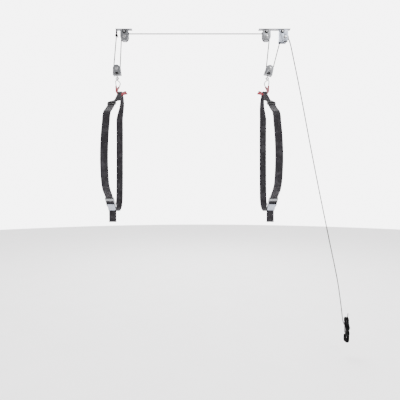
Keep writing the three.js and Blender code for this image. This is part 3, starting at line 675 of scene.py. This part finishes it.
def add_knot():
    """The rope's end: a loop through the anchor tab, two turns round itself and a short tail."""
    x = ANCHOR_X
    hole = ANCHOR_HOLE_Z
    points = [KNOT_BOTTOM, (x, 0, -0.0385), (x, -0.001, -0.0345), (x, -0.0055, -0.0298),
              (x, -0.0085, -0.0252), (x, -0.0066, hole - 0.0035), (x, 0, hole),
              (x, 0.0066, hole - 0.0035), (x, 0.0088, -0.0255), (x + 0.001, 0.0078, -0.0305)]
    coil, coil_top, coil_drop = 7.2 * MM, -0.0345, 0.0105
    coil_points, per_turn = 22, 14
    for k in range(coil_points):
        angle = math.pi / 2 + 2 * math.pi * k / per_turn
        points.append((x + coil * math.cos(angle), coil * math.sin(angle),
                       coil_top - coil_drop * k / (coil_points - 1)))
    points += [(x + 0.0075, -0.004, -0.0495), (x + 0.0105, -0.002, -0.056)]
    stand_for(rope_piece("anchor_knot", evenly(smooth_line(points, 1.5 * MM), 1.2 * MM)),
              "rope_anchor_knot")


def add_rope():
    left = (pivot("left_wheel_spin"), BLOCK_PITCH, 1)
    upper_left = (pivot("upper_left_spin"), BLOCK_PITCH, -1)
    upper_right = (pivot("upper_right_spin"), BLOCK_PITCH, -1)
    right = (pivot("right_wheel_spin"), BLOCK_PITCH, 1)
    lock = (pivot("lock_spin"), LOCK_PITCH, -1)
    knot = (KNOT_BOTTOM, 0.0, 1)
    cleat_end = (Vector((PULL_ROUTE[-1].x, 0, PULL_ROUTE[-1].z)), 0.0, 1)
    wheels = [knot, left, upper_left, upper_right, right, lock, cleat_end]
    runs = [straight_run(a, b) for a, b in zip(wheels, wheels[1:])]
    bends = [bend(wheel, runs[i][1], runs[i + 1][0]) for i, wheel in enumerate(wheels[1:-1])]
    for name, run, block in [("a", runs[0], "left_block"), ("b", runs[1], "left_block"),
                             ("c", runs[3], "right_block"), ("d", runs[4], "right_block")]:
        upper, lower = sorted(run, key=lambda point: -point.z)
        fall = rope_piece(f"fall_{name}", evenly([upper, lower], 2 * MM))
        dress(fall, f"rope_fall_{name}")
        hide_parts(f"rope_fall_{name}")
        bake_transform(fall)
    stand_for(rope_piece("bend_lower_left", bends[0]), "rope_bend_lower_left")
    cross = evenly([*bends[1], *bends[2]], 2 * MM)
    stand_for(rope_piece("cross_run", cross), "rope_cross_run")
    stand_for(rope_piece("bend_lower_right", bends[3]), "rope_bend_lower_right")
    stand_for(rope_piece("bend_lock", bends[4]), "rope_bend_lock")
    add_free_rope(runs[5][0], runs[5][1])
    add_knot()


# ------------------------------------------------------------------ pulleys

def add_sheave(prefix, centre, pitch):
    """A moulded wheel: round groove, shallow recess on each face, raised hub."""
    rim = pitch + SHEAVE_RIM
    floor = 3.0 * MM
    recess = 1.6 * MM
    arc = [math.radians(-62 + 124 * k / 12) for k in range(13)]
    groove = [(pitch - floor * math.cos(a), floor * math.sin(a)) for a in arc]
    web_in = HUB_RADIUS + 1.6 * MM
    web_out = pitch - floor - 1.8 * MM
    face = SHEAVE_HALF - recess
    half = [(BORE, HUB_HALF), (HUB_RADIUS, HUB_HALF), (HUB_RADIUS, face), (web_in, face),
            (web_out, face), (web_out + recess, SHEAVE_HALF), (rim, SHEAVE_HALF),
            (rim, GROOVE_MOUTH)]
    lower = rounded([(r, -h) for r, h in half], 0.5 * MM, closed=False)
    upper = rounded([(r, h) for r, h in reversed(half)], 0.5 * MM, closed=False)
    wheel = lathe(f"{prefix}_wheel", lower + groove + upper, along_y(centre), closed=True)
    stand_for(wheel, f"{prefix}_sheave")


def add_axle(prefix, centre):
    """A riveted axle with a domed head at each end."""
    seat = CHEEK_OUT + GAP
    dome = [(AXLE_HEAD * math.cos(a), seat + 0.8 * MM + (AXLE_DOME - 0.8 * MM) * math.sin(a))
            for a in (math.pi / 2 * k / 10 for k in range(11))]
    end = [(AXLE_RADIUS, seat), (AXLE_HEAD - 0.4 * MM, seat), *dome[:-1], (0.0, dome[-1][1])]
    profile = [(r, -h) for r, h in reversed(end)] + end
    stand_for(lathe(f"{prefix}_rivet", profile, along_y(centre), closed=False), f"{prefix}_axle")


def hexagon_ring(radius, height, seat, sides=48):
    """A hexagon of that corner radius with points along its flats."""
    ring = []
    for j in range(sides):
        a = 2 * math.pi * j / sides
        within = (a % (math.pi / 3)) - math.pi / 6
        reach = radius * math.cos(math.pi / 6) / math.cos(within)
        ring.append(seat @ Vector((reach * math.cos(a), reach * math.sin(a), height)))
    return ring


def circle_ring(radius, height, seat, sides=48):
    angles = [2 * math.pi * j / sides for j in range(sides)]
    return [seat @ Vector((radius * math.cos(a), radius * math.sin(a), height)) for a in angles]


def add_bolt(prefix):
    """The hanging bolt: a chamfered hexagon head, its shank, and a nut with the thread showing."""
    low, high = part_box(f"{prefix}_bolt")
    seat = along_y(Vector(((low.x + high.x) / 2, 0, (low.z + high.z) / 2)))
    head = -CHEEK_OUT - WASHER_THICK - 2 * GAP
    nut = CHEEK_OUT + GAP
    shank = AXLE_RADIUS - 0.05 * MM
    chamfer = 0.9 * MM
    corner = BOLT_ACROSS * 0.86
    rings = [circle_ring(0.3 * MM, head - BOLT_HEAD, seat),
             circle_ring(corner, head - BOLT_HEAD, seat),
             hexagon_ring(BOLT_ACROSS, head - BOLT_HEAD + chamfer, seat),
             hexagon_ring(BOLT_ACROSS, head - 0.4 * MM, seat), circle_ring(corner, head, seat),
             circle_ring(shank, head, seat), circle_ring(shank, nut, seat),
             circle_ring(corner, nut, seat), hexagon_ring(BOLT_ACROSS, nut + chamfer, seat),
             hexagon_ring(BOLT_ACROSS, nut + BOLT_HEAD - chamfer, seat),
             circle_ring(corner, nut + BOLT_HEAD, seat), circle_ring(shank, nut + BOLT_HEAD, seat),
             circle_ring(shank, nut + BOLT_HEAD + 0.7 * MM, seat),
             circle_ring(shank - 0.6 * MM, nut + BOLT_HEAD + 1.0 * MM, seat)]
    sides = [j / 48 for j in range(49)]
    along = [k * MM for k in range(len(rings))]
    stand_for(skin(f"{prefix}_hanging_bolt", rings, sides, along, sharp=24), f"{prefix}_bolt")


def add_washer(prefix):
    low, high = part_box(f"{prefix}_washer")
    centre = Vector(((low.x + high.x) / 2, low.y, (low.z + high.z) / 2))
    outline = [(BORE, 0), (WASHER_RADIUS, 0), (WASHER_RADIUS, WASHER_THICK), (BORE, WASHER_THICK)]
    profile = rounded(outline, 0.6 * MM)
    stand_for(lathe(f"{prefix}_seal", profile, along_y(centre), closed=True), f"{prefix}_washer")


def refine(node, width, segments=2):
    """A CAD piece again with flat faces joined up and every real edge slightly rounded."""
    mesh = frame["nodes"][node].data.copy()
    mesh.materials.clear()
    bm = bmesh.new()
    bm.from_mesh(mesh)
    bmesh.ops.remove_doubles(bm, verts=bm.verts, dist=0.02 * MM)
    bmesh.ops.dissolve_limit(bm, angle_limit=math.radians(1.5), verts=bm.verts, edges=bm.edges)
    edges = [edge for edge in bm.edges
             if len(edge.link_faces) == 2 and edge.calc_face_angle(0) > math.radians(28)]
    bmesh.ops.bevel(bm, geom=edges, offset=width, offset_type="OFFSET", segments=segments,
                    profile=0.5, affect="EDGES", clamp_overlap=True)
    bmesh.ops.remove_doubles(bm, verts=bm.verts, dist=0.005 * MM)
    bm.to_mesh(mesh)
    bm.free()
    piece = finish_piece(f"{node}_made", mesh, 35)
    return stand_for(piece, node)


def add_roller():
    low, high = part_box("lock_roller")
    centre = Vector(((low.x + high.x) / 2, 0, (low.z + high.z) / 2))
    pin, radius = 2.2 * MM, 4.2 * MM
    pin_end = CHEEK_OUT + 2 * MM
    roll = CHEEK_IN - 1 * MM
    outline = [(0, -pin_end), (pin, -pin_end), (pin, -roll), (radius, -roll), (radius, roll),
               (pin, roll), (pin, pin_end), (0, pin_end)]
    profile = rounded(outline, 0.45 * MM, closed=False)
    stand_for(lathe("lock_roller_turned", profile, along_y(centre), closed=False, steps=40),
              "lock_roller")


def add_pulleys():
    for prefix, joint, pitch in [("upper_left", "upper_left_spin", BLOCK_PITCH),
                                 ("upper_right", "upper_right_spin", BLOCK_PITCH),
                                 ("lock", "lock_spin", LOCK_PITCH),
                                 ("lower_left", "left_wheel_spin", BLOCK_PITCH),
                                 ("lower_right", "right_wheel_spin", BLOCK_PITCH)]:
        add_sheave(prefix, pivot(joint), pitch)
        add_axle(prefix, pivot(joint))
    for prefix in ("upper_left", "upper_right", "lock"):
        add_bolt(prefix)
        add_washer(prefix)
    for node in ("ceiling_plate_left", "ceiling_plate_right", "upper_left_bracket",
                 "upper_right_bracket", "lock_housing", "lower_left_stirrup",
                 "lower_right_stirrup"):
        refine(node, 0.45 * MM)
    refine("lock_guard", 0.6 * MM)
    refine("wall_cleat", 1.6 * MM, 4)
    add_roller()


# ------------------------------------------------------------------ hooks

FRONT_NECK = [(6, -0.6, -1.6), (9.5, -2, -7), (5, -5, -14.5), (-4, -7, -21), (-9.5, -8, -28),
              (-9, -10, -38), (-6.5, -12, -58), (-4.5, -13, -76)]
REAR_NECK = [(-6, 0.6, -1.6), (-9.5, 2, -7), (-4.5, 5, -14.5), (5, 7, -21), (14, 8, -30),
             (17.5, 9, -40), (12, 11, -55), (4, 12.5, -67), (-2, 13, -78)]
PRONG = [(-4, 13, -88), (-4, 13, -95), (-2, 13, -102.5), (4, 13, -108), (12, 13, -110),
         (32, 13, -110), (45, 14.5, -107.5), (55, 16.5, -104), (62, 17.5, -103)]
SADDLE = (0, 0, -0.8)
SLEEVE_START = -58 * MM


def half_hook(neck, inward):
    side = math.copysign(1, neck[-1][1])
    points = [SADDLE, *neck, *[(u, side * spread, z) for u, spread, z in PRONG]]
    return mm([(inward * x, y, z) for x, y, z in points])


def add_sleeve(side, part, neck, inward, eye):
    """The dipped cover on one prong, with a soft lip at its top and a round tip."""
    line = evenly(smooth_line(half_hook(neck, inward), 2 * MM), 1.5 * MM)
    start = next(i for i, point in enumerate(line) if point.z < SLEEVE_START)
    covered = line[start:]
    heading = (covered[-1] - covered[-2]).normalized()
    radii = []
    lip = 5
    for i in range(len(covered)):
        rise = math.sin(math.pi / 2 * min(i / lip, 1.0))
        radii.append(HOOK_WIRE + 0.2 * MM + (SLEEVE_RADIUS - HOOK_WIRE - 0.2 * MM) * rise)
    for k in range(1, 7):
        angle = math.pi / 2 * k / 6
        covered.append(line[-1] + heading * 3 * MM * math.sin(angle))
        radii.append(max(SLEEVE_RADIUS * math.cos(angle), 0.4 * MM))
    sleeve = tube(f"{side}_{part}_vinyl", [eye + point for point in covered], radii, 24)
    stand_for(sleeve, f"{side}_hook_sleeve_{part}")


def add_eye_bolt(side):
    """Wire bent into a ring below a threaded shank, and the cone nut that it turns in."""
    seat = block_seat(side)
    ring, wire, shank = 8 * MM, 2.8 * MM, 4 * MM
    top, neck = -28 * MM, -EYE_DROP + ring
    line = [Vector((0, 0, top + (neck - top) * k / 12)) for k in range(13)]
    radii = [shank - (shank - wire) * smoothstep(k, 9, 12) for k in range(13)]
    for k in range(1, 46):
        angle = math.pi / 2 + 2 * math.pi * 0.965 * k / 45
        line.append(Vector((0, ring * math.cos(angle), -EYE_DROP + ring * math.sin(angle))))
        radii.append(wire)
    bolt = tube(f"{side}_bent_eye", [seat @ point for point in line], radii, 20)
    stand_for(bolt, f"lower_{side}_eye_bolt")
    base = -41.7 * MM
    cone = [(4.3 * MM, base), (13.5 * MM, base), (13.5 * MM, base + 4 * MM), (7.5 * MM, -26 * MM),
            (4.3 * MM, -26 * MM)]
    stand_for(lathe(f"{side}_cone_nut", rounded(cone, 0.8 * MM), seat, closed=True),
              f"lower_{side}_swivel_nut")


def add_hooks():
    for side, inward in SIDES.items():
        eye = pivot(f"{side}_hook_swing")
        front, rear = half_hook(FRONT_NECK, inward), half_hook(REAR_NECK, inward)
        wire = evenly(smooth_line([*reversed(front), *rear[1:]], 2 * MM), 1.6 * MM)
        hook = tube(f"{side}_hook_wire", [eye + p for p in wire], [HOOK_WIRE] * len(wire), 24)
        stand_for(hook, f"{side}_hook")
        add_sleeve(side, "front", FRONT_NECK, inward, eye)
        add_sleeve(side, "rear", REAR_NECK, inward, eye)
        add_eye_bolt(side)


# ------------------------------------------------------------------ slings

BUCKLE_PLACE = (-141, -1184)
BUCKLE_TILT = math.radians(50)
SEWN_END = [(-1.2, 160), (-4.4, 138), (-0.9, 109), (1.9, 80), (1.8, 58), (4.2, 51.5), (4.6, 48),
            (3.3, 44.8), (0, 43.4), (-3.3, 44.8), (-4.6, 48), (-4.2, 51.5), (-1.6, 58), (-1.6, 80),
            (-4.3, 109)]
FRONT_RUN = [(-252, -1102), (-278, -1068), (-294, -1025), (-304, -975), (-309, -920), (-306, -850),
             (-292, -770), (-268, -690), (-257, -650), (-238, -623), (-200, -598), (-162, -571),
             (-126, -541), (-70, -484)]
OVER_HOOK = [(-18.8, -430.6), (-16.2, -429), (-13, -428.3), (0, -428.2), (13, -428.3),
             (16.2, -429), (18.8, -430.6)]
BACK_RUN = [(66, -478), (86, -510), (98, -555), (104, -620), (107, -730), (107, -860), (106, -980),
            (103, -1090), (95, -1160), (70, -1205), (20, -1229), (-30, -1232), (-66, -1226),
            (-90, -1215)]
THROUGH_BUCKLE = [(6.6, -32), (6.6, 10), (6.4, 21), (5.4, 24.7), (3, 25.7), (0.6, 24.7),
                  (-0.4, 21), (-0.6, 10), (-0.6, -32), (-1.2, -48)]
TAIL = [(-100.5, -1232), (-98.5, -1254), (-98, -1278), (-98, -1302)]
FOLDS = 2
FOLD_HEIGHT = 3 * MM

# Stitching of the sewn end: it starts this far up in the buckle's frame and ends at this height.
STITCHING_FROM = (-1.6, 62)
TACK_Z = -1.082


def from_buckle(y, z):
    """A place in the buckle's own tilted frame, in the hoist's Y and Z."""
    across = y * math.cos(BUCKLE_TILT) - z * math.sin(BUCKLE_TILT)
    up = y * math.sin(BUCKLE_TILT) + z * math.cos(BUCKLE_TILT)
    return BUCKLE_PLACE[0] + across, BUCKLE_PLACE[1] + up


def gather(point, centre, gathered):
    """The webbing's middle, half width and how far it is drawn together, at a point on its line."""
    narrow = (GATHER_TO - GATHER_FROM) / 2
    if point.y > 0:
        share = smoothstep(point.z, GATHER_BACK_BOTTOM, GATHER_TOP)
        return centre + (gathered - centre) * share, WEB_HALF + (narrow - WEB_HALF) * share, share
    shift = smoothstep(point.z, GATHER_BOTTOM, GATHER_WIDE)
    drawn = min(max((point.z - GATHER_WIDE) / (GATHER_TOP - GATHER_WIDE), 0.0), 1.0)
    half = WEB_HALF + (GATHER_WIDE_HALF - WEB_HALF) * shift + (narrow - GATHER_WIDE_HALF) * drawn
    return centre + (gathered - centre) * shift, half, drawn


def webbing_line():
    places = [from_buckle(*p) for p in SEWN_END] + FRONT_RUN + OVER_HOOK + BACK_RUN
    places += [from_buckle(*p) for p in THROUGH_BUCKLE] + TAIL
    return smooth_line(mm([(0, y, z) for y, z in places]), 6 * MM)


def web_section(half, fold, thick, across_steps=24):
    """The webbing's cross-section as X and height pairs, folded by fold and round at its edges."""
    upper = []
    for j in range(across_steps + 1):
        u = -1 + 2 * j / across_steps
        lift = fold * 0.5 * (1 - math.cos(2 * math.pi * FOLDS * (u + 1) / 2))
        upper.append((half * u * (1 - 0.4 * MM / half), lift))
    right_edge, left_edge = [(half, upper[-1][1])], [(-half, upper[0][1])]
    top = [(x, lift + thick / 2) for x, lift in upper]
    bottom = [(x, lift - thick / 2) for x, lift in reversed(upper)]
    return top + right_edge + bottom + left_edge


def add_webbing(side, line):
    centre = sum((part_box(f"{side}_buckle_frame")[k].x for k in (0, 1)), 0.0) / 2
    inward = SIDES[side]
    hook_x = pivot(f"{side}_hook_swing").x
    gathered = hook_x + inward * (GATHER_FROM + GATHER_TO) / 2
    rings = []
    directions = tangents(line)
    for point, direction in zip(line, directions):
        outward = Vector((0, direction.z, -direction.y))
        middle, half, share = gather(point, centre, gathered)
        section = web_section(half, -FOLD_HEIGHT * share, WEB_THICK)
        rings.append([Vector((middle + x, point.y, point.z)) + outward * lift
                      for x, lift in section])
    count = len(rings[0])
    step = 2 * (WEB_HALF + WEB_THICK) / count
    across = [j * 2 * step for j in range(count + 1)]
    sling = skin(f"{side}_webbing", rings, across, distances(line), sharp=60)
    stand_for(sling, f"{side}_sling")
    return centre


def stitch(verts, faces, middle, heading, sideways, normal, long, wide, proud):
    """Adds one thread stitch, a low rounded bar, to the lists."""
    sides, rows = 8, 5
    first = len(verts)
    for i in range(rows):
        along = -1 + 2 * i / (rows - 1)
        swell = math.sqrt(max(1 - along * along, 0.04))
        for j in range(sides):
            a = 2 * math.pi * j / sides
            verts.append(middle + heading * (along * long / 2)
                         + sideways * (wide / 2 * swell * math.cos(a))
                         + normal * (proud * swell * math.sin(a)))
    for i in range(rows - 1):
        for j in range(sides):
            k = (j + 1) % sides
            row = first + i * sides
            faces.append((row + j, row + k, row + sides + k, row + sides + j))
    faces.append(tuple(first + j for j in reversed(range(sides))))
    faces.append(tuple(first + (rows - 1) * sides + j for j in range(sides)))


def add_stitching(side, line, centre):
    """The box and cross that hold the webbing's sewn end, and the tack across its top."""
    verts, faces = [], []
    pitch = 3.4 * MM
    long, wide, proud = 2.7 * MM, 0.9 * MM, 0.42 * MM
    low_z = from_buckle(*STITCHING_FROM)[1] * MM
    loop = min(range(len(line) // 4), key=lambda i: line[i].z)
    run = evenly([p for p in line[loop:] if p.y < -0.15], 0.5 * MM)
    first = next(i for i, p in enumerate(run) if p.z > low_z)
    last = next(i for i, p in enumerate(run) if p.z > TACK_Z)
    keep = run[first:last]
    slopes = tangents(keep)

    def at(x, share):
        i = min(int(share * (len(keep) - 1)), len(keep) - 1)
        slope = slopes[i]
        normal = Vector((0, -slope.z, slope.y)).normalized()
        return Vector((centre + x, keep[i].y, keep[i].z)) + normal * (WEB_THICK / 2), slope, normal

    def row(x0, s0, x1, s1):
        a, b = at(x0, s0)[0], at(x1, s1)[0]
        count = max(2, round((b - a).length / pitch))
        for k in range(count):
            share = (k + 0.5) / count
            place, _, normal = at(x0 + (x1 - x0) * share, s0 + (s1 - s0) * share)
            heading = (b - a).normalized()
            heading = (heading - normal * heading.dot(normal)).normalized()
            stitch(verts, faces, place, heading, normal.cross(heading), normal, long, wide, proud)

    reach = WEB_HALF - 4 * MM
    for x in (-reach, reach):
        row(x, 0.0, x, 1.0)
    for share in (0.0, 0.5, 0.985, 1.0):
        row(-reach, share, reach, share)
    row(-reach, 0.0, reach, 0.5)
    row(reach, 0.0, -reach, 0.5)
    thread = make_piece(f"{side}_stitching", verts, faces)
    thread.data.materials.append(THREAD_LOOK)
    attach(thread, BODY_OF[f"{side}_sling"])


def add_slings():
    line = webbing_line()
    for side in SIDES:
        centre = add_webbing(side, line)
        add_stitching(side, line, centre)
        refine(f"{side}_sling_slider", 0.7 * MM, 3)
        refine(f"{side}_buckle_frame", 0.35 * MM)
        refine(f"{side}_buckle_lever", 0.5 * MM)


add_camera()
add_rope()
add_pulleys()
add_hooks()
add_slings()
add_studio()
add_floor()
